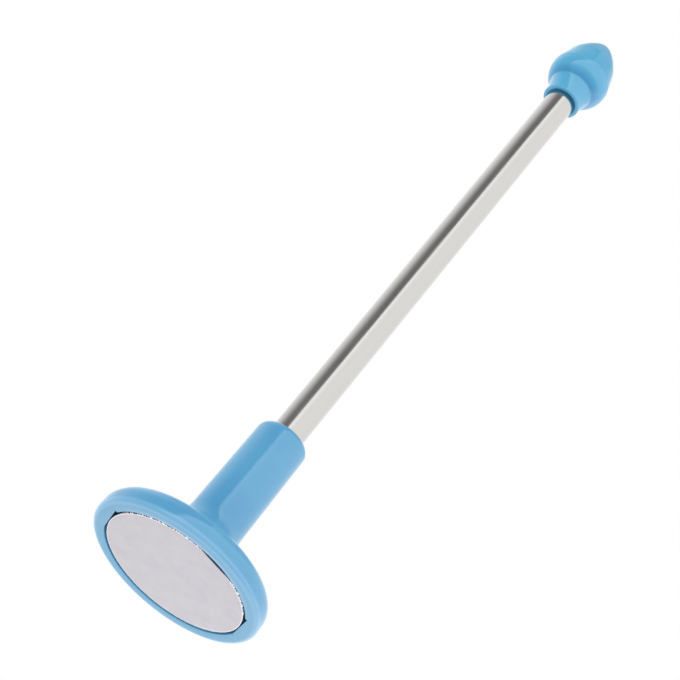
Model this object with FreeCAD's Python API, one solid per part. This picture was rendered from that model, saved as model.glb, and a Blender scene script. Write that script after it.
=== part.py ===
"""Telescopic magnetic pickup tool: a magnet head, an outer tube, three sliding sections and a knob.

Millimetres. The tool stands on the rim of its head: the origin is the centre of that rim and +Z runs
along the tubes to the knob. X runs through the two flats of the magnet recess.
"""

import FreeCAD
import Part

import math
import os

# Head moulding: a dished disc and the neck that grips the outer tube.
HEAD_RADIUS = 21.6
HEAD_BACK = 6.1
HEAD_FRONT_ROUND = 1.0
HEAD_BACK_ROUND = 3.4
NECK_BASE_RADIUS = 6.9
NECK_END_RADIUS = 6.5
NECK_END = 42.7
NECK_BASE_FILLET = 10.0
NECK_END_ROUND = 1.9

# Magnet stack in the recess of the head, counted up from the rim.
RECESS_RADIUS = 18.3
FLAT_DISTANCE = 17.9  # from the axis to each of the two flats of the recess
FLAT_FRONT = -5.9  # a small step, out from the round wall, begins each flat here
FLAT_BACK = 3.8  # and it runs into the round wall here
FACE_SETBACK = 0.1  # the face plate lies this far behind the rim
FACE_PLATE_RADIUS = 17.7
FACE_PLATE_THICKNESS = 0.6
FACE_PLATE_EDGE_ROUND = 0.15
MAGNET_RADIUS = 17.7
MAGNET_THICKNESS = 3.0
MAGNET_CHAMFER = 0.3
BACKING_RADIUS = 17.7
BACKING_THICKNESS = 0.9
MAGNET_FRONT = FACE_SETBACK + FACE_PLATE_THICKNESS
MAGNET_BACK = MAGNET_FRONT + MAGNET_THICKNESS
RECESS_ROOF = MAGNET_BACK + BACKING_THICKNESS

# Telescopic tubes, from the outer tube inwards.
OUTER_TUBE_RADIUS = 4.0
RADIUS_STEP = 0.75  # each section is 1.5 mm smaller in diameter than the one around it
TUBE_WALL = 0.3
TUBE_FLOOR = 8.6
OUTER_MOUTH = 177.7
MOUTH_STEP = 1.8  # each closed section stands this much higher than the one around it
MOUTH_CLEARANCE = 0.06
SWAGE_LENGTH = 2.4
SWAGE_LIP = 1.1
SWAGE_BEND_RISE = 0.15  # the steepest part of the shoulder is this far above its middle
SWAGE_BEND_SHARE = 0.7  # share of the radial step still left there
TUBE_EDGE_BREAK = 0.08

# Threaded plug crimped into the outer tube, and the M3 countersunk screw through the head.
PLUG_TOP = 16.6
CRIMP_HEIGHT = 13.1
CRIMP_DEPTH = 0.25
CRIMP_HALF_WIDTH = 0.8
SCREW_RADIUS = 1.5
SCREW_CLEARANCE_RADIUS = 1.6
SCREW_LENGTH = 10.0
SCREW_TIP_CHAMFER = 0.4
SCREW_HEAD_RADIUS = 2.75
SCREW_HEAD_HEIGHT = 1.65
SCREW_SETBACK = 0.05
CROSS_WIDTH = 0.8
CROSS_SPAN = 2.9
CROSS_DEPTH = 1.1
NECK_BORE_CHAMFER = 0.3

# Foot of each sliding section: a ring at the bottom, two friction clips and a rolled bead above.
FOOT_GAP = 0.2
RING_HEIGHT = 2.4
RING_CLEARANCE = 0.08
RING_CHAMFER = 0.12
CLIP_END_GAP = 0.1
CLIP_LENGTH = 8.0
CLIP_THICKNESS = 0.25
CLIP_CLEARANCE = 0.02
CLIP_BOW = 0.12
CLIP_ARC = 170.0
CLIP_ANGLES = [0.0, 180.0]  # where the middles of the two clips of a section face
BEAD_HEIGHT = 0.28
BEAD_HALF_WIDTH = 0.6

# Knob on the innermost section; heights count from its mouth.
KNOB_MOUTH = 176.2
KNOB_LENGTH = 25.2
COLLAR_MOUTH_RADIUS = 5.2
COLLAR_WAIST_RADIUS = 5.45
COLLAR_WAIST_HEIGHT = 2.9
CREASE_RADIUS = 6.13
CREASE_HEIGHT = 5.6
CREASE_ROUND = 0.3
BULB_UNDERSIDE_RADIUS = 7.82
BULB_UNDERSIDE_HEIGHT = 7.69
BULB_RADIUS = 8.42
BULB_HEIGHT = 10.3
BULB_BAND = 1.0
BULB_EDGE_ROUND = 6.0
SHOULDER_RADIUS = 7.15
SHOULDER_HEIGHT = 16.8
NOSE_MIDDLE_RADIUS = 5.75
NOSE_MIDDLE_HEIGHT = 19.9
TIP_RADIUS = 2.95
TIP_HEIGHT = 24.1
TIP_JOIN_ROUND = 1.5
COLLAR_BORE_RADIUS = 4.3
COLLAR_BORE_DEPTH = 6.4
COLLAR_LIP_ROUND = 0.3
COLLAR_BORE_ROUND = 0.1

# Stud that the knob is moulded around, pressed into the innermost tube.
INNER_TUBE_TOP = 190.1
STUD_SPIGOT_LENGTH = 5.0
STUD_FLANGE_RADIUS = 2.3
STUD_FLANGE_THICKNESS = 0.8
STUD_SHANK_RADIUS = 1.7
STUD_GROOVE_RADIUS = 1.35
STUD_GROOVE_WIDTH = 0.8
STUD_GROOVES = 2

SECTION_NAMES = ["outer", "second", "third", "inner"]
INNERMOST = len(SECTION_NAMES) - 1

ORIGIN = FreeCAD.Vector(0, 0, 0)
UP = FreeCAD.Vector(0, 0, 1)


def point(radius, height):
    return FreeCAD.Vector(radius, 0, height)


def arc(through, end):
    """One step of an outline: an arc through one (radius, height) point to another."""
    return {"through": through, "end": end}


def turned(outline, sweep=360.0, middle=0.0):
    """A solid of revolution about Z from an outline of (radius, height) points and arcs.

    The outline closes itself. A part turn is centred on the angle middle.
    """
    edges = []
    here = outline[0]
    for step in outline[1:]:
        if isinstance(step, dict):
            curve = Part.Arc(point(*here), point(*step["through"]), point(*step["end"]))
            here = step["end"]
        else:
            curve = Part.LineSegment(point(*here), point(*step))
            here = step
        edges.append(curve.toShape())
    if here != outline[0]:
        edges.append(Part.LineSegment(point(*here), point(*outline[0])).toShape())
    face = Part.Face(Part.Wire(edges))
    if sweep < 360:
        face.rotate(ORIGIN, UP, middle - sweep / 2)
    return face.revolve(ORIGIN, UP, sweep)


def cylinder(radius, bottom, top):
    return Part.makeCylinder(radius, top - bottom, FreeCAD.Vector(0, 0, bottom))


def centred_box(size_x, size_y, bottom, top):
    corner = FreeCAD.Vector(-size_x / 2, -size_y / 2, bottom)
    return Part.makeBox(size_x, size_y, top - bottom, corner)


def rims(shape, *places):
    """The circular edges about Z that lie at the given (radius, height) places."""
    found = []
    for edge in shape.Edges:
        if edge.Degenerated or not isinstance(edge.Curve, Part.Circle):
            continue
        for radius, height in places:
            same_radius = abs(edge.Curve.Radius - radius) < 1e-6
            same_height = abs(edge.Curve.Center.z - height) < 1e-6
            if same_radius and same_height:
                found.append(edge)
    return found


def tube_radius(section):
    """Outside radius of a section, counted inwards from the outer tube as section 0."""
    return OUTER_TUBE_RADIUS - section * RADIUS_STEP


def bore_radius(section):
    return tube_radius(section) - TUBE_WALL


def mouth_height(section):
    return OUTER_MOUTH + section * MOUTH_STEP


def foot_height(section):
    return PLUG_TOP + section * FOOT_GAP


def clip_bottom(section):
    return foot_height(section) + RING_HEIGHT + CLIP_END_GAP


def bead_centre(section):
    return clip_bottom(section) + CLIP_LENGTH + CLIP_END_GAP + BEAD_HALF_WIDTH


def head_shell():
    """The blue moulding: disc and neck, with the magnet recess, tube bore and screw hole."""
    body = turned([
        (0, 0),
        (HEAD_RADIUS, 0),
        (HEAD_RADIUS, HEAD_BACK),
        (NECK_BASE_RADIUS, HEAD_BACK),
        (NECK_END_RADIUS, NECK_END),
        (0, NECK_END),
    ])
    body = body.makeFillet(NECK_BASE_FILLET, rims(body, (NECK_BASE_RADIUS, HEAD_BACK)))
    body = body.makeFillet(HEAD_BACK_ROUND, rims(body, (HEAD_RADIUS, HEAD_BACK)))
    body = body.makeFillet(HEAD_FRONT_ROUND, rims(body, (HEAD_RADIUS, 0)))
    body = body.makeFillet(NECK_END_ROUND, rims(body, (NECK_END_RADIUS, NECK_END)))

    def across(reach):
        corner = FreeCAD.Vector(-reach, FLAT_FRONT, 0)
        return Part.makeBox(2 * reach, FLAT_BACK - FLAT_FRONT, RECESS_ROOF, corner)

    recess = cylinder(RECESS_RADIUS, 0, RECESS_ROOF).cut(across(RECESS_RADIUS)).fuse(across(FLAT_DISTANCE))
    bore = turned([
        (0, TUBE_FLOOR),
        (OUTER_TUBE_RADIUS, TUBE_FLOOR),
        (OUTER_TUBE_RADIUS, NECK_END - NECK_BORE_CHAMFER),
        (OUTER_TUBE_RADIUS + NECK_BORE_CHAMFER, NECK_END),
        (0, NECK_END),
    ])
    return body.cut(recess).cut(bore).cut(screw_hole())


def screw_hole():
    """Countersunk clearance hole in the floor between the recess and the tube bore."""
    return turned([
        (0, RECESS_ROOF),
        (SCREW_HEAD_RADIUS, RECESS_ROOF),
        (SCREW_HEAD_RADIUS, RECESS_ROOF + SCREW_SETBACK),
        (SCREW_CLEARANCE_RADIUS, RECESS_ROOF + SCREW_SETBACK + SCREW_HEAD_HEIGHT),
        (SCREW_CLEARANCE_RADIUS, TUBE_FLOOR),
        (0, TUBE_FLOOR),
    ])


def face_plate():
    plate = cylinder(FACE_PLATE_RADIUS, FACE_SETBACK, MAGNET_FRONT)
    edge = rims(plate, (FACE_PLATE_RADIUS, FACE_SETBACK), (FACE_PLATE_RADIUS, MAGNET_FRONT))
    return plate.makeFillet(FACE_PLATE_EDGE_ROUND, edge)


def magnet():
    disc = cylinder(MAGNET_RADIUS, MAGNET_FRONT, MAGNET_BACK)
    edge = rims(disc, (MAGNET_RADIUS, MAGNET_FRONT), (MAGNET_RADIUS, MAGNET_BACK))
    return disc.makeChamfer(MAGNET_CHAMFER, edge)


def backing_plate():
    return cylinder(BACKING_RADIUS, MAGNET_BACK, RECESS_ROOF)


def head_screw():
    """Countersunk screw with a cross recess; its thread is left plain at the major radius."""
    head = RECESS_ROOF + SCREW_SETBACK
    tip = head + SCREW_LENGTH
    screw = turned([
        (0, head),
        (SCREW_HEAD_RADIUS, head),
        (SCREW_RADIUS, head + SCREW_HEAD_HEIGHT),
        (SCREW_RADIUS, tip - SCREW_TIP_CHAMFER),
        (SCREW_RADIUS - SCREW_TIP_CHAMFER, tip),
        (0, tip),
    ])
    slot = centred_box(CROSS_SPAN, CROSS_WIDTH, head, head + CROSS_DEPTH)
    cross = slot.fuse(centred_box(CROSS_WIDTH, CROSS_SPAN, head, head + CROSS_DEPTH))
    return screw.cut(cross)


def tube_plug():
    """Brass plug with the screw's thread, held by a crimp that the outer tube rolls into it."""
    radius = bore_radius(0)
    return turned([
        (SCREW_RADIUS, TUBE_FLOOR),
        (radius, TUBE_FLOOR),
        (radius, CRIMP_HEIGHT - CRIMP_HALF_WIDTH),
        arc((radius - CRIMP_DEPTH, CRIMP_HEIGHT), (radius, CRIMP_HEIGHT + CRIMP_HALF_WIDTH)),
        (radius, PLUG_TOP),
        (SCREW_RADIUS, PLUG_TOP),
    ])


def rolled_wall(outer, inner, centre, half_width, height):
    """Outline steps up the outside and down the inside of a wall with one rolled ring in it.

    A positive height is a bead that stands out of the tube, a negative one is a groove.
    """
    low = centre - half_width
    high = centre + half_width
    up = [(outer, low), arc((outer + height, centre), (outer, high))]
    down = [(inner, high), arc((inner + height, centre), (inner, low))]
    return up, down


def swaged_mouth(section):
    """Outline steps over the mouth of a tube, rolled in to guide the section inside it."""
    top = mouth_height(section)
    outer = tube_radius(section)
    inner = bore_radius(section)
    lip = tube_radius(section + 1) + MOUTH_CLEARANCE
    lip_outside = lip + TUBE_WALL
    start = top - SWAGE_LENGTH
    end = top - SWAGE_LIP
    bend = (start + end) / 2 + SWAGE_BEND_RISE
    return [
        (outer, start),
        arc((lip_outside + SWAGE_BEND_SHARE * (outer - lip_outside), bend), (lip_outside, end)),
        (lip_outside, top - TUBE_EDGE_BREAK),
        (lip_outside - TUBE_EDGE_BREAK, top),
        (lip, top),
        (lip, end),
        arc((lip + SWAGE_BEND_SHARE * (inner - lip), bend), (inner, start)),
    ]


def outer_tube():
    """Outer tube: crimped onto its plug at the foot, swaged at the mouth."""
    outer = tube_radius(0)
    inner = bore_radius(0)
    up, down = rolled_wall(outer, inner, CRIMP_HEIGHT, CRIMP_HALF_WIDTH, -CRIMP_DEPTH)
    foot = [(inner, TUBE_FLOOR), (outer, TUBE_FLOOR)]
    return turned(foot + up + swaged_mouth(0) + down)


def middle_tube(section):
    """A sliding section: plain foot, rolled bead above the friction clips, swaged mouth."""
    outer = tube_radius(section)
    inner = bore_radius(section)
    up, down = rolled_wall(outer, inner, bead_centre(section), BEAD_HALF_WIDTH, BEAD_HEIGHT)
    foot = [(inner, foot_height(section)), (outer, foot_height(section))]
    return turned(foot + up + swaged_mouth(section) + down)


def innermost_tube():
    """The last sliding section, whose plain top is held in the knob."""
    outer = tube_radius(INNERMOST)
    inner = bore_radius(INNERMOST)
    up, down = rolled_wall(outer, inner, bead_centre(INNERMOST), BEAD_HALF_WIDTH, BEAD_HEIGHT)
    foot = [(inner, foot_height(INNERMOST)), (outer, foot_height(INNERMOST))]
    return turned(foot + up + [(outer, INNER_TUBE_TOP), (inner, INNER_TUBE_TOP)] + down)


def foot_ring(section):
    """Brass ring pressed on the foot of a section; it keeps the clips on and centres the foot."""
    inner = tube_radius(section)
    outer = bore_radius(section - 1) - RING_CLEARANCE
    bottom = foot_height(section)
    top = bottom + RING_HEIGHT
    return turned([
        (inner, bottom),
        (outer - RING_CHAMFER, bottom),
        (outer, bottom + RING_CHAMFER),
        (outer, top - RING_CHAMFER),
        (outer - RING_CHAMFER, top),
        (inner, top),
    ])


def friction_clip(section, turn):
    """Half sleeve of spring bronze, centred on an angle and bowed so that its middle rubs on the bore."""
    bottom = clip_bottom(section)
    top = bottom + CLIP_LENGTH
    middle = (bottom + top) / 2
    outer = bore_radius(section - 1) - CLIP_CLEARANCE
    inner = outer - CLIP_THICKNESS
    shell = [
        (inner - CLIP_BOW, bottom),
        (outer - CLIP_BOW, bottom),
        arc((outer, middle), (outer - CLIP_BOW, top)),
        (inner - CLIP_BOW, top),
        arc((inner, middle), (inner - CLIP_BOW, bottom)),
    ]
    return turned(shell, CLIP_ARC, middle=turn)


def knob_stud():
    """Brass stud: a spigot pressed into the tube, a flange on its end, a grooved shank above."""
    spigot_radius = bore_radius(INNERMOST)
    shank_bottom = INNER_TUBE_TOP + STUD_FLANGE_THICKNESS
    outline = [
        (0, INNER_TUBE_TOP - STUD_SPIGOT_LENGTH),
        (spigot_radius, INNER_TUBE_TOP - STUD_SPIGOT_LENGTH),
        (spigot_radius, INNER_TUBE_TOP),
        (STUD_FLANGE_RADIUS, INNER_TUBE_TOP),
        (STUD_FLANGE_RADIUS, shank_bottom),
    ]
    height = shank_bottom
    for _ in range(STUD_GROOVES):
        outline += [
            (STUD_SHANK_RADIUS, height),
            (STUD_SHANK_RADIUS, height + STUD_GROOVE_WIDTH),
            (STUD_GROOVE_RADIUS, height + STUD_GROOVE_WIDTH),
            (STUD_GROOVE_RADIUS, height + 2 * STUD_GROOVE_WIDTH),
        ]
        height += 2 * STUD_GROOVE_WIDTH
    outline += [
        (STUD_SHANK_RADIUS, height),
        (STUD_SHANK_RADIUS, height + STUD_GROOVE_WIDTH),
        (0, height + STUD_GROOVE_WIDTH),
    ]
    return turned(outline)


def tip_arc_middle():
    """Halfway point of the knob's tip, which is part of a ball centred on the axis."""
    rise = KNOB_LENGTH - TIP_HEIGHT
    ball = (TIP_RADIUS ** 2 + rise ** 2) / (2 * rise)
    half_angle = math.asin(TIP_RADIUS / ball) / 2
    return ball * math.sin(half_angle), KNOB_LENGTH - ball * (1 - math.cos(half_angle))


def knob():
    """The blue knob: a flared collar that covers the tube mouths, and a pointed bulb."""

    def place(radius, height):
        return (radius, KNOB_MOUTH + height)

    body = turned([
        place(0, 0),
        place(COLLAR_MOUTH_RADIUS, 0),
        arc(place(COLLAR_WAIST_RADIUS, COLLAR_WAIST_HEIGHT), place(CREASE_RADIUS, CREASE_HEIGHT)),
        arc(place(BULB_UNDERSIDE_RADIUS, BULB_UNDERSIDE_HEIGHT), place(BULB_RADIUS, BULB_HEIGHT)),
        place(BULB_RADIUS, BULB_HEIGHT + BULB_BAND),
        place(SHOULDER_RADIUS, SHOULDER_HEIGHT),
        arc(place(NOSE_MIDDLE_RADIUS, NOSE_MIDDLE_HEIGHT), place(TIP_RADIUS, TIP_HEIGHT)),
        arc(place(*tip_arc_middle()), place(0, KNOB_LENGTH)),
    ])
    body = body.makeFillet(BULB_EDGE_ROUND, rims(body, place(BULB_RADIUS, BULB_HEIGHT + BULB_BAND)))
    body = body.makeFillet(CREASE_ROUND, rims(body, place(CREASE_RADIUS, CREASE_HEIGHT)))
    body = body.makeFillet(TIP_JOIN_ROUND, rims(body, place(TIP_RADIUS, TIP_HEIGHT)))
    bore_roof = KNOB_MOUTH + COLLAR_BORE_DEPTH
    body = body.cut(cylinder(COLLAR_BORE_RADIUS, KNOB_MOUTH, bore_roof))
    body = body.makeFillet(COLLAR_LIP_ROUND, rims(body, place(COLLAR_MOUTH_RADIUS, 0)))
    body = body.makeFillet(COLLAR_BORE_ROUND, rims(body, place(COLLAR_BORE_RADIUS, 0)))
    tube_hole = cylinder(tube_radius(INNERMOST), bore_roof, INNER_TUBE_TOP)
    return body.cut(tube_hole).cut(knob_stud())


def sliding_section(section):
    """The pieces of one sliding section by node name."""
    name = SECTION_NAMES[section]
    tube = innermost_tube() if section == INNERMOST else middle_tube(section)
    return {
        f"{name}_tube": tube,
        f"{name}_foot_ring": foot_ring(section),
        f"{name}_friction_clip_a": friction_clip(section, CLIP_ANGLES[0]),
        f"{name}_friction_clip_b": friction_clip(section, CLIP_ANGLES[1]),
    }


def pieces():
    """Every piece of the tool by node name."""
    found = {
        "head_shell": head_shell(),
        "face_plate": face_plate(),
        "magnet": magnet(),
        "backing_plate": backing_plate(),
        "head_screw": head_screw(),
        "tube_plug": tube_plug(),
        "outer_tube": outer_tube(),
        "knob_stud": knob_stud(),
        "knob": knob(),
    }
    for section in range(1, len(SECTION_NAMES)):
        found.update(sliding_section(section))
    return found


def main():
    os.makedirs("parts", exist_ok=True)
    for name, shape in pieces().items():
        solid = shape.Solids[0]
        if len(shape.Solids) != 1 or not solid.isValid():
            raise ValueError(f"{name} is not one valid solid")
        solid.exportStep(f"parts/{name}.step")
        box = solid.optimalBoundingBox(False, False)
        print(f"{name}: z {box.ZMin:.2f} to {box.ZMax:.2f}, radius {box.XMax:.3f}, {solid.Volume:.1f} mm3")


main()
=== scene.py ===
"""The looks of a telescopic magnetic pickup tool: blue moulded head and knob, steel tubes, plated face.

Laid out as an add-on and run as a script. Lengths are in metres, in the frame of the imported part.
"""

import math

import bmesh
import bpy
from mathutils import Matrix, Vector, noise


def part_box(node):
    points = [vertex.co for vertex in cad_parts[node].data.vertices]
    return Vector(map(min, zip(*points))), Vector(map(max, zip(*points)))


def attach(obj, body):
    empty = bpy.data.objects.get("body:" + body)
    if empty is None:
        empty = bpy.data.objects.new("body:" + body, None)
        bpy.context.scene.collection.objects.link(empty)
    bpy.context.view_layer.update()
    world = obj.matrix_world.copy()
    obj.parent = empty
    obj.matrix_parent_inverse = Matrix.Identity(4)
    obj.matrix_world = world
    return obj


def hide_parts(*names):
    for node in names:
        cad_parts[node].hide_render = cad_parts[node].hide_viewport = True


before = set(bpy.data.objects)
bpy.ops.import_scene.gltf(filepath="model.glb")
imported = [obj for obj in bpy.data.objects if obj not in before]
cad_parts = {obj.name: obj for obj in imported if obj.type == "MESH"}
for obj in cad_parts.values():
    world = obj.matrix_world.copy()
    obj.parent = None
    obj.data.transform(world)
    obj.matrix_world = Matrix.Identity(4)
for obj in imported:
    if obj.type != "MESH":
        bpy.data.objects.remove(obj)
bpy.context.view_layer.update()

bl_info = {
    "name": "Magnetic Pickup Tool",
    "version": (1, 0, 0),
    "blender": (4, 5, 0),
    "location": "View3D > Sidebar > Pickup Tool",
    "description": "Builds the looks of a telescopic magnetic pickup tool around its packed frame",
    "category": "Object",
}

MM = 0.001
AXIS = (0, 0, 1)
NEAR = 0.002 * MM        # how near two places are when they count as one
SLIVER = 0.02 * MM       # the least gap or width that is left anywhere
SECTION_BODIES = {
    "outer": "head",
    "second": "second_section",
    "third": "third_section",
    "inner": "knob_section",
}
SECTIONS = list(SECTION_BODIES)


def linear(hex_colour):
    """An sRGB hex colour as linear red, green, blue and alpha."""
    channels = [int(hex_colour[i:i + 2], 16) / 255 for i in (1, 3, 5)]
    return (*(c / 12.92 if c <= 0.04045 else ((c + 0.055) / 1.055) ** 2.4 for c in channels), 1)


def length(name, description, size):
    """A length setting, given in millimetres."""
    return bpy.props.FloatProperty(
        name=name, description=description, default=size * MM, precision=5, subtype="DISTANCE", unit="LENGTH"
    )


def angle(name, description, degrees):
    """An angle setting, given in degrees."""
    return bpy.props.FloatProperty(
        name=name, description=description, default=math.radians(degrees), subtype="ANGLE", unit="ROTATION"
    )


def colour(name, description, hex_colour):
    """A colour setting, given as sRGB hex."""
    return bpy.props.FloatVectorProperty(
        name=name, description=description, default=linear(hex_colour), size=4, min=0, max=1, subtype="COLOR"
    )


def brightness(name, description, default):
    """A brightness setting, where 1 is plain white."""
    return bpy.props.FloatProperty(name=name, description=description, default=default, min=0)


class HeadSizes(bpy.types.PropertyGroup):
    """Sizes of the head moulding and the plate in its face."""

    rim_round: length("Rim round", "Round on the front edge of the disc", 1.0)
    back_round: length("Back round", "Large round on the back edge of the disc", 3.4)
    back: length("Back", "Height of the back of the disc above its rim", 6.1)
    neck_base: length("Neck base radius", "Radius of the neck where it leaves the disc", 6.9)
    neck_end: length("Neck end radius", "Radius of the neck at its top", 6.5)
    neck_fillet: length("Neck fillet", "Hollow fillet between the disc and the neck", 10.0)
    neck_round: length("Neck end round", "Round on the top edge of the neck", 1.9)
    bore_chamfer: length("Bore chamfer", "Chamfer where the tube leaves the neck", 0.3)
    recess: length("Recess radius", "Radius of the recess that holds the magnet", 18.3)
    recess_edge: length("Recess edge", "Small round on the edge of the recess", 0.1)
    flat_distance: length("Flat distance", "Distance of the two flats of the recess from the axis", 17.9)
    flat_front: length("Flat front", "Where the flats begin with a step, to the front of the axis", 5.9)
    flat_back: length("Flat back", "Where the flats run into the round wall, behind the axis", 3.8)
    plate_round: length("Plate round", "Round on the edge of the face plate", 0.12)
    plate_border: length("Plate border", "Width of the plate's border that its edge can move", 0.8)
    # Width of the painted highlight line round the face plate.
    plate_highlight_width: length("Plate rubbed", "Width of the rubbed bright line round the face plate", 0.28)
    plate_wander: length("Plate wander", "How far the punched edge of the plate wanders", 0.05)
    plate_burr: length("Plate burr", "How far the burrs on one side of the plate stand out", 0.95)
    plate_dip: length("Plate dip", "How far the clean stretch of the plate's edge is drawn in", 0.55)
    clean_place: angle("Clean place", "Middle of the clean stretch, counted from +X", 287)
    clean_half: angle("Clean half", "Half the angle that the clean stretch takes up", 14)


class TubeSizes(bpy.types.PropertyGroup):
    """Sizes shared by the telescopic tubes."""

    radius: length("Outer radius", "Radius of the outermost tube", 4.0)
    step: length("Step", "How much smaller in radius each section is than the last", 0.75)
    wall: length("Wall", "Wall thickness of every tube", 0.3)
    swage: length("Swage", "Length of the rolled-in mouth", 2.4)
    lip: length("Lip", "Length of the straight lip of the mouth", 1.1)
    clearance: length("Clearance", "Gap between a lip and the tube that slides in it", 0.06)
    swage_round: length("Swage round", "Round where the wall turns in to the mouth", 0.7)
    lip_bend: length("Lip bend", "Round at the foot of the lip", 0.4)
    edge: length("Edge", "Round on the cut edges", 0.08)
    bead: length("Bead", "Height of the rolled bead above the friction clips", 0.28)
    bead_place: length("Bead place", "Height of the bead above the foot of its tube", 11.2)
    bead_width: length("Bead width", "Width of the rolled bead", 1.2)


class KnobSizes(bpy.types.PropertyGroup):
    """Sizes of the knob; heights count from its mouth."""

    mouth: length("Mouth radius", "Radius of the collar at its mouth", 5.2)
    waist: length("Waist radius", "Radius of the collar halfway up", 5.45)
    waist_height: length("Waist height", "Height of the collar's waist", 2.9)
    crease: length("Crease radius", "Radius of the crease between collar and bulb", 6.13)
    crease_height: length("Crease height", "Height of the crease", 5.6)
    crease_round: length("Crease round", "Hollow round in the crease", 0.15)
    under: length("Underside radius", "Radius halfway up the underside of the bulb", 7.82)
    under_height: length("Underside height", "Height halfway up the underside", 7.69)
    belly: length("Belly radius", "Largest radius of the bulb", 8.42)
    belly_height: length("Belly height", "Height where the largest radius begins", 10.3)
    belly_band: length("Belly band", "Height of the straight band", 1.0)
    belly_round: length("Belly round", "Reach of the round above the band", 0.65)
    shoulder: length("Shoulder radius", "Radius where the taper turns into the nose", 7.15)
    shoulder_height: length("Shoulder height", "Height of the shoulder", 16.8)
    nose: length("Nose radius", "Radius halfway up the nose", 5.75)
    nose_height: length("Nose height", "Height halfway up the nose", 19.9)
    tip: length("Tip radius", "Radius where the ball of the tip begins", 2.95)
    tip_height: length("Tip height", "Height where the ball of the tip begins", 24.1)
    bore: length("Bore radius", "Radius of the hollow of the collar", 4.3)
    bore_depth: length("Bore depth", "Depth of the hollow of the collar", 6.4)
    lip_round: length("Lip round", "Round on the outer edge of the collar", 0.3)
    bore_round: length("Bore round", "Round on the inner edge of the collar", 0.1)
    witness: length("Witness line", "How far the mould's witness line stands out of the belly", 0.03)
    witness_place: length("Witness place", "Height of the line above the foot of the band", 0.4)
    witness_width: length("Witness width", "Width of the line", 0.1)


class Finishes(bpy.types.PropertyGroup):
    """Colours of the materials."""

    plastic: colour("Plastic", "Light blue moulded ABS", "#529FCC")
    plastic_pale: colour("Pale plastic", "The same ABS where it has whitened a little", "#5AA6D0")
    # Painted shade: a deeper blue that darkens the knob's crease.
    crease: colour("Crease", "The ABS of the knob down in its crease", "#3D8CC4")
    # Painted highlight: a paler blue along the front edge of the disc.
    edge_highlight: colour("Rubbed plastic", "The same ABS along the rubbed edge of the disc", "#79B6DD")
    knob_plastic: colour("Knob plastic", "The slightly greener ABS of the knob", "#55ACD6")
    knob_pale: colour("Pale knob plastic", "The knob's ABS where it has whitened a little", "#5DB2D9")
    steel: colour("Steel", "Polished stainless steel", "#CFCDCA")
    plate: colour("Plate", "Nickel plating", "#C1BDC3")
    # Painted highlight: a bright line round the edge of the face plate.
    plate_highlight: colour("Bright plating", "Nickel plating rubbed bright along the edge", "#E4E2E6")
    plate_dull: colour("Dull plate", "Nickel plating in its duller patches", "#BBB8BF")
    zinc: colour("Zinc", "Zinc plating", "#B9BCC2")
    brass: colour("Brass", "Turned brass", "#D9B36B")
    bronze: colour("Bronze", "Phosphor bronze strip", "#C58A5C")
    ferrite: colour("Ferrite", "Pressed and fired ferrite", "#3A3A3D")


class StageSetup(bpy.types.PropertyGroup):
    """Camera, floor and the light tent."""

    camera_place: bpy.props.FloatVectorProperty(
        name="Camera place", description="Where the camera stands", subtype="TRANSLATION", unit="LENGTH",
        default=(-4.64 * MM, -346.72 * MM, -156.20 * MM),
    )
    camera_rise: angle("Camera rise", "How far the camera looks up", 33.44)
    camera_roll: angle("Camera roll", "Turn of the camera about its view", 39.76)
    lens: bpy.props.FloatProperty(name="Lens", description="Focal length", default=93.85, unit="CAMERA")
    floor_drop: length("Floor drop", "Gap between the head and the floor", 0.3)
    floor_width: length("Floor width", "Width of the floor", 6000)
    tent: brightness("Tent", "Brightness of the tent as a gloss mirrors it", 1.3)
    card: brightness("Card", "Brightness of the dark cards as a gloss mirrors them", 0.2)
    from_above: brightness("From above", "Soft light from above", 1.15)
    from_below: brightness("From below", "Soft light from below", 0.95)


# ---------------------------------------------------------------------------------------------------
# Mesh helpers


def arc_through(start, through, end, steps):
    """Points after start, up to end, on the circle through three (radius, height) points."""
    a = Vector(start)
    b = Vector(through)
    c = Vector(end)
    d = 2 * (a.x * (b.y - c.y) + b.x * (c.y - a.y) + c.x * (a.y - b.y))
    aa = a.length_squared
    bb = b.length_squared
    cc = c.length_squared
    centre = Vector((
        (aa * (b.y - c.y) + bb * (c.y - a.y) + cc * (a.y - b.y)) / d,
        (aa * (c.x - b.x) + bb * (a.x - c.x) + cc * (b.x - a.x)) / d,
    ))
    turn = (a - centre).angle_signed(b - centre) + (b - centre).angle_signed(c - centre)
    return [centre + Matrix.Rotation(-turn * i / steps, 2) @ (a - centre) for i in range(1, steps + 1)]


def turned(outline, columns, closed=True):
    """A bmesh turned about the axis from (radius, height) points; poles are merged."""
    bm = bmesh.new()
    verts = [bm.verts.new((radius, 0, height)) for radius, height in outline]
    ends = list(zip(verts, verts[1:] + verts[:1])) if closed else list(zip(verts, verts[1:]))
    edges = [bm.edges.new(pair) for pair in ends]
    bmesh.ops.spin(
        bm, geom=verts + edges, cent=(0, 0, 0), axis=AXIS, dvec=(0, 0, 0), angle=math.tau, steps=columns,
        use_merge=True, use_normal_flip=False, use_duplicate=False,
    )
    bmesh.ops.remove_doubles(bm, verts=bm.verts, dist=NEAR / 4)
    bmesh.ops.recalc_face_normals(bm, faces=bm.faces)
    return bm


def cut(bm, geom, point, normal):
    """Cuts faces where they cross a plane."""
    bmesh.ops.bisect_plane(bm, geom=geom, dist=NEAR / 20, plane_co=point, plane_no=normal)


def ring_edges(bm, radius, height):
    """The edges of the circle about the axis at a radius and height."""
    def on_ring(vert):
        return abs(vert.co.xy.length - radius) < NEAR and abs(vert.co.z - height) < NEAR
    return [e for e in bm.edges if all(on_ring(v) for v in e.verts)]


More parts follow.
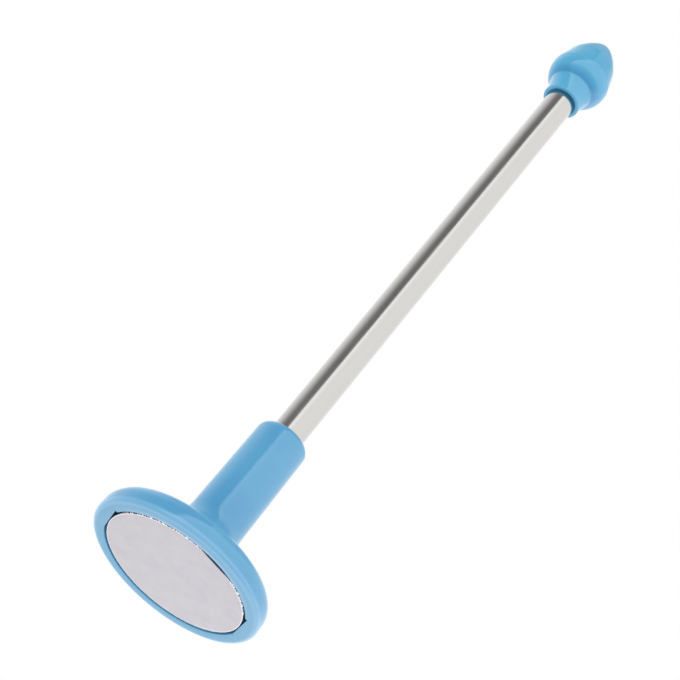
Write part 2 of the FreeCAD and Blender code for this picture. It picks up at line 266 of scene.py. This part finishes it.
def round_ring(bm, radius, height, size, segments):
    """Rounds the edge at a radius and height."""
    edges = ring_edges(bm, radius, height)
    if not edges:
        raise RuntimeError(f"no edge at radius {radius:.5f}, height {height:.5f}")
    bmesh.ops.bevel(
        bm, geom=edges, offset=size, offset_type="OFFSET", affect="EDGES", segments=segments, profile=0.5,
        material=-1, clamp_overlap=True,
    )


def finish_piece(bm, name, body, material, replaced, sharp_from=35):
    """Makes an object of a bmesh: smooth, with its material, riding on its body."""
    mesh = bpy.data.meshes.new(name)
    bm.to_mesh(mesh)
    bm.free()
    for face in mesh.polygons:
        face.use_smooth = True
    mesh.set_sharp_from_angle(angle=math.radians(sharp_from))
    mesh.materials.append(material)
    piece = bpy.data.objects.new(name, mesh)
    bpy.context.scene.collection.objects.link(piece)
    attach(piece, body)
    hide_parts(replaced)


# ---------------------------------------------------------------------------------------------------
# Materials


def feed(tree, node, inputs):
    """Gives a node its inputs, by name or number.

    Each is a value, an output to link, or a node whose first live output is linked.
    """
    for name, value in inputs.items():
        if isinstance(value, bpy.types.Node):
            value = next(output for output in value.outputs if output.enabled)
        if isinstance(value, bpy.types.NodeSocket):
            tree.links.new(value, node.inputs[name])
        else:
            node.inputs[name].default_value = value


def add(tree, kind, inputs=(), **settings):
    """Adds a node with its settings; a list of inputs is taken in the node's own order."""
    made = tree.nodes.new(kind)
    for name, value in settings.items():
        setattr(made, name, value)
    feed(tree, made, inputs if isinstance(inputs, dict) else dict(enumerate(inputs)))
    return made


def new_material(name):
    """A new material: it, its tree, its shader and the piece's own coordinates."""
    material = bpy.data.materials.new(name)
    material.use_nodes = True
    tree = material.node_tree
    tree.nodes.clear()
    shader = add(tree, "ShaderNodeBsdfPrincipled")
    add(tree, "ShaderNodeOutputMaterial", {"Surface": shader})
    place = add(tree, "ShaderNodeTexCoord").outputs["Object"]
    return material, tree, shader, place


def per_metre(size_mm):
    """Noise scale that gives features of about this size."""
    return 1 / (size_mm * MM)


def off_axis(tree, place):
    """The distance of a place from the axis."""
    flat = add(tree, "ShaderNodeVectorMath", [place, (1, 1, 0)], operation="MULTIPLY")
    return add(tree, "ShaderNodeVectorMath", [flat], operation="LENGTH").outputs["Value"]


def paint_rim_highlight(tree, place, body):
    """Paints a highlight on the front edge of the disc as a paler colour; returns the shader's inputs."""
    height = add(tree, "ShaderNodeSeparateXYZ", [place]).outputs["Z"]
    rim = bpy.context.scene.pickup_head.rim_round
    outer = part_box("head_shell")[1].x
    face_fade = (outer - 1.4 * rim, outer - 0.8 * rim)
    side_fade = (0.8 * rim, 1.5 * rim)
    # Painted highlight: a paler colour on the disc's front edge, fading in across the face and up the side.
    near_edge = add(tree, "ShaderNodeMapRange", [off_axis(tree, place), *face_fade])
    edge_highlight = add(tree, "ShaderNodeMapRange", [height, *side_fade, near_edge, 0])
    pale = bpy.context.scene.pickup_finishes.edge_highlight
    return {"Base Color": add(tree, "ShaderNodeMix", {0: edge_highlight, 6: body, 7: pale}, data_type="RGBA")}


def paint_knob_shade_and_glow(tree, place, body):
    """Paints shade into the crease as a deeper blue, and paints a glow on the inside of the collar in place
    of light through its thin wall.

    Returns the shader's inputs.
    """
    height = add(tree, "ShaderNodeSeparateXYZ", [place]).outputs["Z"]
    sizes = bpy.context.scene.pickup_knob
    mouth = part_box("knob")[0].z
    crease = mouth + sizes.crease_height
    darkest = crease + 0.3 * MM
    depth = 0.75
    glow = 0.22
    # Painted shade: the colour turns a deeper blue just above the crease and fades back higher up.
    under = add(tree, "ShaderNodeMapRange", [height, crease - 0.3 * MM, darkest, 0, depth])
    shade = add(tree, "ShaderNodeMapRange", [height, darkest, darkest + 1.5 * MM, under, 0])
    deep = bpy.context.scene.pickup_finishes.crease
    roof = mouth + sizes.bore_depth
    wall_fade = (sizes.bore + 0.02 * MM, sizes.bore + 0.05 * MM)
    roof_fade = (roof + 0.1 * MM, roof + 0.2 * MM)
    # Painted glow: emission on the collar's inside wall, below its roof.
    inside = add(tree, "ShaderNodeMapRange", [off_axis(tree, place), *wall_fade, glow, 0])
    return {
        "Base Color": add(tree, "ShaderNodeMix", {0: shade, 6: body, 7: deep}, data_type="RGBA"),
        "Emission Color": body,
        "Emission Strength": add(tree, "ShaderNodeMapRange", [height, *roof_fade, inside, 0]),
    }


def moulded_abs(name, deep, pale, finish):
    """Glossy injection-moulded ABS: a clean gloss with a slight orange peel and a few dull marks."""
    material, tree, shader, place = new_material(name)
    cloud = {"Vector": place, "Scale": per_metre(14), "Detail": 3.0, "Roughness": 0.55}
    smudge = {"Vector": place, "Scale": per_metre(5), "Detail": 5.0, "Roughness": 0.6}
    peel = {"Vector": place, "Scale": per_metre(2.2), "Detail": 1.5}
    whitened = add(tree, "ShaderNodeMapRange", [add(tree, "ShaderNodeTexNoise", cloud), 0.35, 0.65])
    dulled = add(tree, "ShaderNodeMapRange", [add(tree, "ShaderNodeTexNoise", smudge), 0.4, 0.7, 0.08, 0.13])
    peeled = {"Height": add(tree, "ShaderNodeTexNoise", peel), "Distance": 0.004 * MM}
    body = add(tree, "ShaderNodeMix", {0: whitened, 6: deep, 7: pale}, data_type="RGBA")
    feed(tree, shader, {
        "Roughness": dulled,
        "IOR": 1.54,
        "Specular IOR Level": 0.85,
        "Normal": add(tree, "ShaderNodeBump", peeled),
        # The finish paints light into the colour: a highlight on the head's rim, and shade and a glow on the
        # knob.
        **finish(tree, place, body),
    })
    return material


def drawn_stainless():
    """Stainless tube, drawn and buffed: fine lines along its length, a bright mirror across it."""
    material, tree, shader, place = new_material("drawn_stainless_tube")
    along = add(tree, "ShaderNodeMapping", {"Vector": place, "Scale": (1, 1, 0.03)})
    lines = add(tree, "ShaderNodeTexNoise", {"Vector": along, "Scale": per_metre(0.35), "Detail": 4.0})
    cloud = add(tree, "ShaderNodeTexNoise", {"Vector": place, "Scale": per_metre(9), "Detail": 3.0})
    worn = add(tree, "ShaderNodeMath", [cloud, 0.6, lines], operation="MULTIPLY_ADD")
    feed(tree, shader, {
        "Base Color": bpy.context.scene.pickup_finishes.steel,
        "Metallic": 1.0,
        "Roughness": add(tree, "ShaderNodeMapRange", [worn, 0.55, 1.05, 0.11, 0.2]),
        "Normal": add(tree, "ShaderNodeBump", {"Height": lines, "Distance": 0.002 * MM}),
    })
    return material


def plated_face():
    """Nickel-plated pressed sheet: soft satin, dull in patches, finely grained, with a painted highlight line
    round its edge.
    """
    material, tree, shader, place = new_material("nickel_plated_sheet")
    tones = bpy.context.scene.pickup_finishes
    patches = {"Vector": place, "Scale": per_metre(5), "Detail": 6.0, "Roughness": 0.62}
    cloud = add(tree, "ShaderNodeTexNoise", patches)
    dulled = add(tree, "ShaderNodeMapRange", [cloud, 0.35, 0.65])
    clouded = add(tree, "ShaderNodeMix", {0: dulled, 6: tones.plate, 7: tones.plate_dull}, data_type="RGBA")
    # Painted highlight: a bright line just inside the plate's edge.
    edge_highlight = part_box("face_plate")[1].x - bpy.context.scene.pickup_head.plate_highlight_width
    line = add(tree, "ShaderNodeMapRange", [off_axis(tree, place), edge_highlight, edge_highlight + 0.1 * MM])
    lined = add(tree, "ShaderNodeMix", {0: line, 6: clouded, 7: tones.plate_highlight}, data_type="RGBA")
    grain = add(tree, "ShaderNodeTexNoise", {"Vector": place, "Scale": per_metre(0.4), "Detail": 3.0})
    waves = add(tree, "ShaderNodeTexNoise", {"Vector": place, "Scale": per_metre(6), "Detail": 2.0})
    grained = add(tree, "ShaderNodeBump", {"Height": grain, "Distance": 0.004 * MM})
    feed(tree, shader, {
        "Base Color": lined,
        "Metallic": 1.0,
        "Roughness": add(tree, "ShaderNodeMapRange", [cloud, 0.3, 0.7, 0.28, 0.36]),
        "Normal": add(tree, "ShaderNodeBump", {"Height": waves, "Distance": 0.012 * MM, "Normal": grained}),
    })
    return material


def zinc_plate():
    """Bright zinc on steel: greyish, slightly uneven gloss."""
    material, tree, shader, place = new_material("zinc_plated_steel")
    cloud = add(tree, "ShaderNodeTexNoise", {"Vector": place, "Scale": per_metre(1.5), "Detail": 4.0})
    feed(tree, shader, {
        "Base Color": bpy.context.scene.pickup_finishes.zinc,
        "Metallic": 1.0,
        "Roughness": add(tree, "ShaderNodeMapRange", [cloud, 0.3, 0.7, 0.28, 0.45]),
    })
    return material


def turned_brass():
    """Brass turned in a lathe: warm, with fine rings round the axis."""
    material, tree, shader, place = new_material("turned_brass")
    around = add(tree, "ShaderNodeMapping", {"Vector": place, "Scale": (0.05, 0.05, 1)})
    rings = add(tree, "ShaderNodeTexNoise", {"Vector": around, "Scale": per_metre(0.15), "Detail": 2.0})
    feed(tree, shader, {
        "Base Color": bpy.context.scene.pickup_finishes.brass,
        "Metallic": 1.0,
        "Roughness": add(tree, "ShaderNodeMapRange", [rings, 0.3, 0.7, 0.22, 0.36]),
        "Normal": add(tree, "ShaderNodeBump", {"Height": rings, "Distance": 0.004 * MM}),
    })
    return material


def bronze_strip():
    """Rolled phosphor bronze strip: reddish, with fine lines along it in its gloss."""
    material, tree, shader, place = new_material("phosphor_bronze_strip")
    along = add(tree, "ShaderNodeMapping", {"Vector": place, "Scale": (1, 1, 0.08)})
    lines = add(tree, "ShaderNodeTexNoise", {"Vector": along, "Scale": per_metre(0.3), "Detail": 3.0})
    feed(tree, shader, {
        "Base Color": bpy.context.scene.pickup_finishes.bronze,
        "Metallic": 1.0,
        "Roughness": add(tree, "ShaderNodeMapRange", [lines, 0.3, 0.7, 0.2, 0.4]),
        "Normal": add(tree, "ShaderNodeBump", {"Height": lines, "Distance": 0.003 * MM}),
    })
    return material


def fired_ferrite():
    """Ferrite, pressed and fired: dark grey, dull, with a fine ground grain."""
    material, tree, shader, place = new_material("fired_ferrite")
    grain = add(tree, "ShaderNodeTexNoise", {"Vector": place, "Scale": per_metre(0.3), "Detail": 4.0})
    feed(tree, shader, {
        "Base Color": bpy.context.scene.pickup_finishes.ferrite,
        "Roughness": add(tree, "ShaderNodeMapRange", [grain, 0.3, 0.7, 0.5, 0.7]),
        "Normal": add(tree, "ShaderNodeBump", {"Height": grain, "Distance": 0.01 * MM}),
    })
    return material


# ---------------------------------------------------------------------------------------------------
# Operators


class PICKUP_OT_head_moulding(bpy.types.Operator):
    """Build the blue head: disc, neck, magnet recess and its two flats"""

    bl_idname = "pickup.head_moulding"
    bl_label = "Head Moulding"

    def execute(self, context):
        sizes = context.scene.pickup_head
        low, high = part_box("head_shell")
        recess_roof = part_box("backing_plate")[1].z
        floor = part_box("outer_tube")[0].z
        tube = context.scene.pickup_tubes.radius
        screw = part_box("head_screw")[1].x
        outline = [
            (screw, recess_roof),
            (sizes.recess, recess_roof),
            (sizes.recess, low.z),
            (high.x, low.z),
            (high.x, sizes.back),
            (sizes.neck_base, sizes.back),
            (sizes.neck_end, high.z),
            (tube + sizes.bore_chamfer, high.z),
            (tube, high.z - sizes.bore_chamfer),
            (tube, floor),
            (screw, floor),
        ]
        bm = turned(outline, columns=256)
        round_ring(bm, high.x, low.z, sizes.rim_round, segments=6)
        round_ring(bm, sizes.recess, low.z, sizes.recess_edge, segments=3)
        round_ring(bm, high.x, sizes.back, sizes.back_round, segments=14)
        round_ring(bm, sizes.neck_base, sizes.back, sizes.neck_fillet, segments=12)
        round_ring(bm, sizes.neck_end, high.z, sizes.neck_round, segments=10)
        self.flatten_recess(bm, sizes, recess_roof)
        tones = context.scene.pickup_finishes
        # The head's plastic has a painted highlight along the disc's front edge.
        plastic = moulded_abs("moulded_abs_head", tones.plastic, tones.plastic_pale, paint_rim_highlight)
        finish_piece(bm, "head_moulding", "head", plastic, "head_shell")
        return {"FINISHED"}

    def flatten_recess(self, bm, sizes, recess_roof):
        """Moves the wall of the recess to a flat on each side."""
        outside = sizes.recess + 2 * sizes.recess_edge

        def in_wall(vert):
            return sizes.recess - MM < vert.co.xy.length < outside and vert.co.z < recess_roof + MM

        for end in (-sizes.flat_front, sizes.flat_back):
            for beyond in (0, math.copysign(SLIVER, end)):
                near = [f for f in bm.faces if any(in_wall(v) for v in f.verts)]
                geom = set(near)
                for face in near:
                    geom.update(face.edges)
                    geom.update(face.verts)
                cut(bm, list(geom), point=(0, end + beyond, 0), normal=(0, 1, 0))
        for vert in bm.verts:
            if in_wall(vert) and -sizes.flat_front - NEAR <= vert.co.y <= sizes.flat_back + NEAR:
                edge_width = vert.co.xy.length - sizes.recess
                vert.co.x = math.copysign(sizes.flat_distance + edge_width, vert.co.x)


class PICKUP_OT_face_plate(bpy.types.Operator):
    """Build the plated face with its ragged punched edge"""

    bl_idname = "pickup.face_plate"
    bl_label = "Face Plate"

    def execute(self, context):
        sizes = context.scene.pickup_head
        low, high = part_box("face_plate")
        edge = high.x
        border = edge - sizes.plate_border
        outline = [(0, low.z), (border, low.z), (edge, low.z), (edge, high.z), (0, high.z)]
        bm = turned(outline, columns=900, closed=False)
        round_ring(bm, edge, low.z, sizes.plate_round, segments=3)
        round_ring(bm, edge, high.z, sizes.plate_round, segments=2)
        self.nibble_edge(bm, edge, sizes)
        finish_piece(bm, "plated_face", "head", plated_face(), "face_plate")
        return {"FINISHED"}

    def nibble_edge(self, bm, edge, sizes):
        """Lets the punched edge wander, and leaves torn burrs to the front but for a short clean stretch."""
        coarse_waves = 45       # in the length of the plate's radius
        fine_waves = 110
        fine_share = 0.7
        torn_from = 0.33        # how far to the front the burrs begin, as a share of the radius
        torn_growth = 6
        least_burr = 0.15
        clean = Vector((math.cos(sizes.clean_place), math.sin(sizes.clean_place), 0))
        furthest = sizes.recess - edge - SLIVER
        for vert in bm.verts:
            reach = vert.co.xy.length
            if reach < edge - 2 * sizes.plate_round:
                continue
            around = Vector((vert.co.x, vert.co.y, 0)).normalized()
            ragged = noise.noise(around * coarse_waves) + fine_share * noise.noise(around * fine_waves)
            torn = min(1, max(0, -torn_from - around.y) * torn_growth)
            nearness = around.angle(clean) / sizes.clean_half
            if nearness < 1:
                torn = 0
                ragged -= sizes.plate_dip / sizes.plate_wander * math.cos(nearness * math.pi / 2)
            out = sizes.plate_wander * ragged + sizes.plate_burr * torn * max(0, least_burr + ragged)
            vert.co.xy = vert.co.xy * (reach + min(out, furthest)) / reach


class PICKUP_OT_tubes(bpy.types.Operator):
    """Build the outer tube and the three sliding tubes with their rolled-in mouths"""

    bl_idname = "pickup.tubes"
    bl_label = "Telescopic Tubes"

    def execute(self, context):
        steel = drawn_stainless()
        for number, name in enumerate(SECTIONS):
            self.build_tube(context.scene.pickup_tubes, number, name, steel)
        return {"FINISHED"}

    def build_tube(self, sizes, number, name, steel):
        """Builds one section, counted from the outermost."""
        node = f"{name}_tube"
        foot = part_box(node)[0].z
        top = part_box(node)[1].z
        outer = sizes.radius - number * sizes.step
        inner = outer - sizes.wall
        outline = [(inner, foot), (outer, foot)]
        if number > 0:
            outline += self.bead(sizes, outer, foot + sizes.bead_place)
        is_last = number == len(SECTIONS) - 1
        if is_last:
            outline += [(outer, top), (inner, top)]
        else:
            lip = outer - sizes.step + sizes.clearance
            outline += [
                (outer, top - sizes.swage),
                (lip + sizes.wall, top - sizes.lip),
                (lip + sizes.wall, top),
                (lip, top),
                (lip, top - sizes.lip),
                (inner, top - sizes.swage),
            ]
        bm = turned(outline, columns=96)
        if not is_last:
            round_ring(bm, outer, top - sizes.swage, sizes.swage_round, segments=6)
            round_ring(bm, lip + sizes.wall, top - sizes.lip, sizes.lip_bend, segments=4)
            round_ring(bm, lip + sizes.wall, top, sizes.edge, segments=3)
            round_ring(bm, lip, top, sizes.edge, segments=3)
        self.slice_lengthwise(bm, foot, top, lengths=8)
        finish_piece(bm, f"{name}_section", SECTION_BODIES[name], steel, node, sharp_from=50)

    def bead(self, sizes, outer, centre):
        """Outline of the rolled bead on the outside of a tube."""
        half = sizes.bead_width / 2
        start = (outer, centre - half)
        return [start, *arc_through(start, (outer + sizes.bead, centre), (outer, centre + half), steps=8)]

    def slice_lengthwise(self, bm, foot, top, lengths):
        """Cuts the long wall into shorter faces."""
        for count in range(1, lengths):
            height = foot + (top - foot) * count / lengths
            cut(bm, bm.verts[:] + bm.edges[:] + bm.faces[:], point=(0, 0, height), normal=AXIS)


class PICKUP_OT_knob(bpy.types.Operator):
    """Build the knob: hollow flared collar, crease and pointed bulb"""

    bl_idname = "pickup.knob"
    bl_label = "Knob"

    def execute(self, context):
        sizes = context.scene.pickup_knob
        low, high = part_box("knob")
        mouth = low.z
        tubes = context.scene.pickup_tubes
        tube = tubes.radius - (len(SECTIONS) - 1) * tubes.step
        stud_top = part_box("knob_stud")[1].z
        crease = (sizes.crease, mouth + sizes.crease_height)
        belly = (sizes.belly, mouth + sizes.belly_height)
        band_top = belly[1] + sizes.belly_band
        line = belly[1] + sizes.witness_place
        half_line = sizes.witness_width / 2
        shoulder = (sizes.shoulder, mouth + sizes.shoulder_height)
        tip = (sizes.tip, mouth + sizes.tip_height)
        start = (sizes.mouth, mouth)
        outline = [(sizes.bore, mouth), start]
        outline += arc_through(start, (sizes.waist, mouth + sizes.waist_height), crease, steps=10)
        outline += arc_through(crease, (sizes.under, mouth + sizes.under_height), belly, steps=14)
        outline += [
            (sizes.belly, line - half_line),
            (sizes.belly + sizes.witness, line),
            (sizes.belly, line + half_line),
            (sizes.belly, band_top),
            shoulder,
        ]
        outline += arc_through(shoulder, (sizes.nose, mouth + sizes.nose_height), tip, steps=12)
        outline += self.tip_ball(tip, high.z, steps=10)
        outline += [
            (0, stud_top),
            (tube, stud_top),
            (tube, mouth + sizes.bore_depth),
            (sizes.bore, mouth + sizes.bore_depth),
        ]
        bm = turned(outline, columns=160)
        round_ring(bm, sizes.belly, band_top, sizes.belly_round, segments=8)
        round_ring(bm, sizes.crease, crease[1], sizes.crease_round, segments=6)
        round_ring(bm, sizes.mouth, mouth, sizes.lip_round, segments=4)
        round_ring(bm, sizes.bore, mouth, sizes.bore_round, segments=3)
        tones = context.scene.pickup_finishes
        # The knob's plastic has painted shade in the crease and a painted glow inside the collar.
        plastic = moulded_abs("moulded_abs_knob", tones.knob_plastic, tones.knob_pale, paint_knob_shade_and_glow)
        finish_piece(bm, "knob_moulding", "knob_section", plastic, "knob")
        return {"FINISHED"}

    def tip_ball(self, start, top, steps):
        """Arc from the nose to the top, part of a ball centred on the axis."""
        rise = top - start[1]
        ball = (start[0] ** 2 + rise ** 2) / (2 * rise)
        full = math.asin(start[0] / ball)
        angles = [full * (1 - i / steps) for i in range(1, steps + 1)]
        return [(ball * math.sin(a), top - ball * (1 - math.cos(a))) for a in angles]


class PICKUP_OT_inner_fittings(bpy.types.Operator):
    """Give the fittings inside the tool their materials"""

    bl_idname = "pickup.inner_fittings"
    bl_label = "Inner Fittings"

    def execute(self, context):
        fittings = {
            fired_ferrite: ["magnet"],
            zinc_plate: ["backing_plate", "head_screw"],
            turned_brass: ["tube_plug", "knob_stud", *(f"{name}_foot_ring" for name in SECTIONS[1:])],
            bronze_strip: [f"{name}_friction_clip_{half}" for name in SECTIONS[1:] for half in "ab"],
        }
        for finish, nodes in fittings.items():
            material = finish()
            for node in nodes:
                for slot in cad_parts[node].material_slots:
                    slot.material = material
        return {"FINISHED"}


class PICKUP_OT_stage(bpy.types.Operator):
    """Set up the floor, the light tent and the camera"""

    bl_idname = "pickup.stage"
    bl_label = "Stage"

    def execute(self, context):
        setup = context.scene.pickup_stage
        self.add_floor(setup)
        self.add_tent(context.scene, setup)
        self.add_camera(context.scene, setup)
        context.scene.view_settings.view_transform = "Standard"
        return {"FINISHED"}

    def add_floor(self, setup):
        """A matt white floor, seen from above only and open to light, so that the magnet shows from below."""
        bm = bmesh.new()
        bmesh.ops.create_grid(bm, x_segments=1, y_segments=1, size=setup.floor_width / 2)
        bmesh.ops.translate(bm, verts=bm.verts, vec=(0, 0, -setup.floor_drop))
        mesh = bpy.data.meshes.new("floor")
        bm.to_mesh(mesh)
        bm.free()
        material = bpy.data.materials.new("matt_white_floor")
        material.use_nodes = True
        tree = material.node_tree
        tree.nodes.clear()
        below = add(tree, "ShaderNodeNewGeometry").outputs["Backfacing"]
        matt = add(tree, "ShaderNodeBsdfDiffuse", {"Color": linear("#F2F2F2")})
        clear = add(tree, "ShaderNodeBsdfTransparent")
        seen = add(tree, "ShaderNodeMixShader", [below, matt, clear])
        add(tree, "ShaderNodeOutputMaterial", {"Surface": seen})
        mesh.materials.append(material)
        floor = bpy.data.objects.new("floor", mesh)
        bpy.context.scene.collection.objects.link(floor)
        for kind in ("diffuse", "glossy", "transmission", "shadow"):
            setattr(floor, f"visible_{kind}", False)

    def add_tent(self, scene, setup):
        """A white tent with dark cards, which only glosses mirror, and an even soft light for the rest.

        Angles are in degrees: rise counts up from the horizon, and turn from straight ahead of the tool's
        front, where the camera is.
        """
        world = bpy.data.worlds.new("light_tent")
        scene.world = world
        world.use_nodes = True
        tree = world.node_tree
        tree.nodes.clear()
        direction = add(tree, "ShaderNodeTexCoord").outputs["Generated"]
        parts = add(tree, "ShaderNodeSeparateXYZ", [direction]).outputs
        toward = add(tree, "ShaderNodeMath", [parts["Y"], -1], operation="MULTIPLY")
        turn = add(tree, "ShaderNodeMath", [parts["X"], toward], operation="ARCTAN2")
        off_centre = add(tree, "ShaderNodeMath", [turn], operation="ABSOLUTE")
        rise = add(tree, "ShaderNodeMath", [parts["Z"]], operation="ARCSINE")

        def stepped(value, start, end, first, last):
            """Goes from the first level to the last between two angles."""
            between = (math.radians(start), math.radians(end))
            return add(tree, "ShaderNodeMapRange", [value, *between, first, last])

        # The cards at the sides lean, and the roof is darker. Low ahead is one more dark card, and low
        # behind is a brighter strip.
        lean = stepped(rise, 0, 60, math.radians(41), math.radians(-16))
        sides = self.card_ramp(tree, add(tree, "ShaderNodeMath", [turn, lean], operation="ADD"))
        roof = stepped(rise, 50, 66, 1, 0.25)
        ahead = stepped(off_centre, 68, 96, stepped(rise, -14, 2, 0.2, 1), 1)
        strip = stepped(rise, 8, 20, stepped(rise, -20, -14, 1, 1.4), 1)
        behind = stepped(off_centre, 110, 130, 1, strip)
        tent = sides
        for share in (roof, ahead, behind):
            tent = add(tree, "ShaderNodeMath", [tent, share], operation="MULTIPLY")
        brightened = [tent, setup.tent - setup.card, setup.card]
        mirrored = add(tree, "ShaderNodeMath", brightened, operation="MULTIPLY_ADD")
        soft = add(tree, "ShaderNodeMapRange", [parts["Z"], -1, 1, setup.from_below, setup.from_above])
        rays = add(tree, "ShaderNodeLightPath").outputs
        light = add(tree, "ShaderNodeMix", {0: rays["Is Glossy Ray"], 2: soft, 3: mirrored})
        shown = add(tree, "ShaderNodeMix", {0: rays["Is Camera Ray"], 2: light, 3: 1.0})
        background = add(tree, "ShaderNodeBackground", {"Color": (1, 1, 1, 1), "Strength": shown})
        add(tree, "ShaderNodeOutputWorld", {"Surface": background})

    def card_ramp(self, tree, turn):
        """How bright the tent's sides are, with a dark card left of the camera, at each angle round them."""
        around = add(tree, "ShaderNodeMapRange", [turn, -math.pi, math.pi])
        ramp = add(tree, "ShaderNodeValToRGB", [around])
        stops = [
            (-140, 0.86), (-100, 0.6), (-81, 0.38), (-67, 0.18), (-55, 0.03), (-40, 0.0),
            (-22, 0.0), (-15, 1.05), (-8, 1.05), (2, 0.88), (12, 0.83), (60, 0.84), (120, 0.8), (170, 0.88),
        ]
        elements = ramp.color_ramp.elements
        while len(elements) < len(stops):
            elements.new(0.5)
        for element, (degrees, level) in zip(elements, stops):
            element.position = degrees / 360 + 0.5
            element.color = (level, level, level, 1)
        return ramp.outputs["Color"]

    def add_camera(self, scene, setup):
        data = bpy.data.cameras.new("camera")
        data.sensor_width = 36
        data.lens = setup.lens
        data.clip_start = 1 * MM
        data.clip_end = 100
        camera = bpy.data.objects.new("camera", data)
        risen = Matrix.Rotation(math.pi / 2 + setup.camera_rise, 4, "X")
        rolled = Matrix.Rotation(setup.camera_roll, 4, "Z")
        camera.matrix_world = Matrix.Translation(setup.camera_place) @ risen @ rolled
        scene.collection.objects.link(camera)
        scene.camera = camera


class PICKUP_PT_panel(bpy.types.Panel):
    """Buttons and settings for the pickup tool"""

    bl_idname = "PICKUP_PT_panel"
    bl_label = "Magnetic Pickup Tool"
    bl_space_type = "VIEW_3D"
    bl_region_type = "UI"
    bl_category = "Pickup Tool"

    def draw(self, context):
        for operator in OPERATORS:
            self.layout.operator(operator.bl_idname)
        for name, group in SETTINGS.items():
            box = self.layout.box()
            box.label(text=group.__name__)
            for setting in group.__annotations__:
                box.prop(getattr(context.scene, name), setting)


SETTINGS = {
    "pickup_head": HeadSizes,
    "pickup_tubes": TubeSizes,
    "pickup_knob": KnobSizes,
    "pickup_finishes": Finishes,
    "pickup_stage": StageSetup,
}
OPERATORS = [
    PICKUP_OT_head_moulding,
    PICKUP_OT_face_plate,
    PICKUP_OT_tubes,
    PICKUP_OT_knob,
    PICKUP_OT_inner_fittings,
    PICKUP_OT_stage,
]


def register():
    for cls in [*SETTINGS.values(), *OPERATORS, PICKUP_PT_panel]:
        bpy.utils.register_class(cls)
    for name, group in SETTINGS.items():
        setattr(bpy.types.Scene, name, bpy.props.PointerProperty(type=group))


def unregister():
    for name in SETTINGS:
        delattr(bpy.types.Scene, name)
    for cls in [PICKUP_PT_panel, *reversed(OPERATORS), *reversed(SETTINGS.values())]:
        bpy.utils.unregister_class(cls)


def main():
    register()
    bpy.ops.pickup.head_moulding()
    bpy.ops.pickup.face_plate()
    bpy.ops.pickup.tubes()
    bpy.ops.pickup.knob()
    bpy.ops.pickup.inner_fittings()
    bpy.ops.pickup.stage()


if __name__ == "__main__":
    main()
